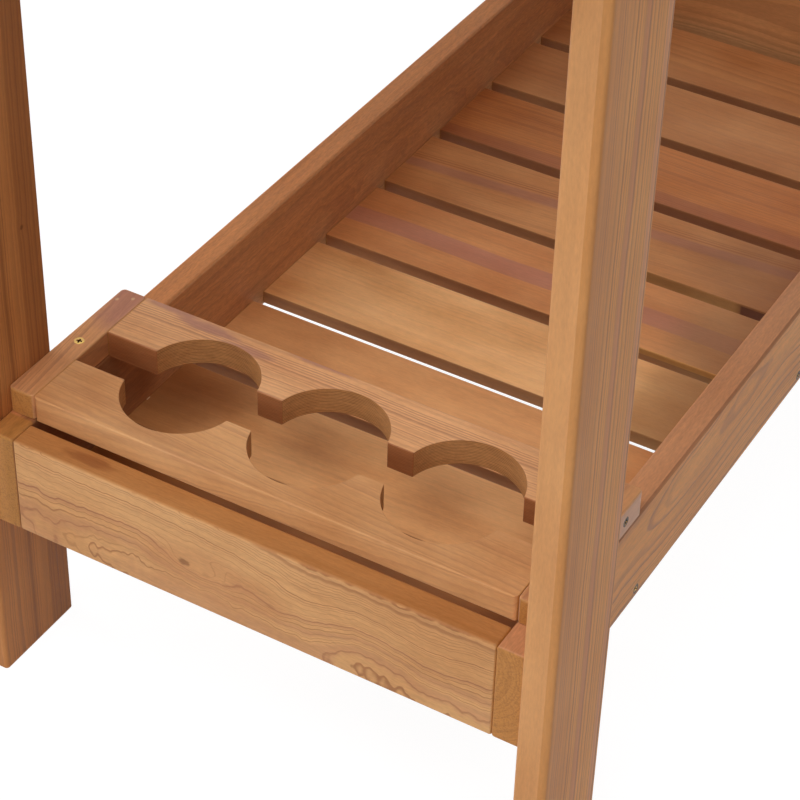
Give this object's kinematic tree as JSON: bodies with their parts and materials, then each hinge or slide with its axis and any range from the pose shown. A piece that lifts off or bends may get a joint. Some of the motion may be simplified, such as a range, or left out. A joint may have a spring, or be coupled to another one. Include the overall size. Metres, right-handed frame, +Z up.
{
  "type": "grill cart",
  "caption": "Wooden grill cart with a board worktop, a slatted lower shelf with a bottle rack, flat legs, a handle bar and wheels at one end.",
  "frame": {"origin": "on the floor, under the middle of the cart's box", "axes": "+X along the cart from the rack and handle end to the wheel end, +Y to the left, +Z up"},
  "size_m": [1.084, 0.5892, 0.9],
  "materials": {
    "frame_wood": "oiled brown-stained softwood",
    "rack_wood": "oiled brown-stained softwood",
    "worktop_wood": "oiled brown-stained softwood",
    "dowel_wood": "plain beech",
    "screw_zinc": "yellow zinc",
    "axle_steel": "zinc plated",
    "hub_plastic": "moulded black",
    "tyre_rubber": "matt rubber"
  },
  "bodies": {
    "cart": {"axle": "axle_steel", "axle_caps": "axle_steel", "axle_washers": "axle_steel", "bottle_board_front": "rack_wood", "bottle_board_rear": "rack_wood", "crossbar_screws": "screw_zinc", "handle_bar": "worktop_wood", "leg_rack_left": "frame_wood", "leg_rack_right": "frame_wood", "leg_screws": "screw_zinc", "leg_wheel_left": "frame_wood", "leg_wheel_right": "frame_wood", "rack_cleat_left": "rack_wood", "rack_cleat_right": "rack_wood", "rack_side_screws": "screw_zinc", "rack_top_screws": "screw_zinc", "shelf_apron_dowels": "dowel_wood", "shelf_apron_rack": "frame_wood", "shelf_apron_wheel": "frame_wood", "shelf_rail_left": "frame_wood", "shelf_rail_right": "frame_wood", "shelf_slat_1": "frame_wood", "shelf_slat_2": "frame_wood", "shelf_slat_3": "frame_wood", "shelf_slat_4": "frame_wood", "shelf_slat_5": "frame_wood", "shelf_slat_6": "frame_wood", "shelf_slat_7": "frame_wood", "shelf_slat_8": "frame_wood", "shelf_slat_9": "frame_wood", "slat_dowels": "dowel_wood", "slat_screws": "screw_zinc", "top_apron_dowels": "dowel_wood", "top_apron_rack": "frame_wood", "top_apron_wheel": "frame_wood", "top_rail_left": "frame_wood", "top_rail_right": "frame_wood", "worktop_board_1": "worktop_wood", "worktop_board_2": "worktop_wood", "worktop_board_3": "worktop_wood", "worktop_board_4": "worktop_wood", "worktop_board_5": "worktop_wood", "worktop_crossbar_1": "worktop_wood", "worktop_crossbar_2": "worktop_wood", "worktop_crossbar_3": "worktop_wood", "worktop_screws": "screw_zinc"},
    "wheel_left": {"wheel_hub_left": "hub_plastic", "tyre_left": "tyre_rubber"},
    "wheel_right": {"wheel_hub_right": "hub_plastic", "tyre_right": "tyre_rubber"}
  },
  "joints": [
    {"name": "wheel_left_spin", "type": "hinge", "parent": "cart", "child": "wheel_left", "pos_m": [0.467, 0.2623, 0.075], "axis": [0, 1, 0], "continuous": true},
    {"name": "wheel_right_spin", "type": "hinge", "parent": "cart", "child": "wheel_right", "pos_m": [0.467, -0.2623, 0.075], "axis": [0, 1, 0], "continuous": true}
  ]
}
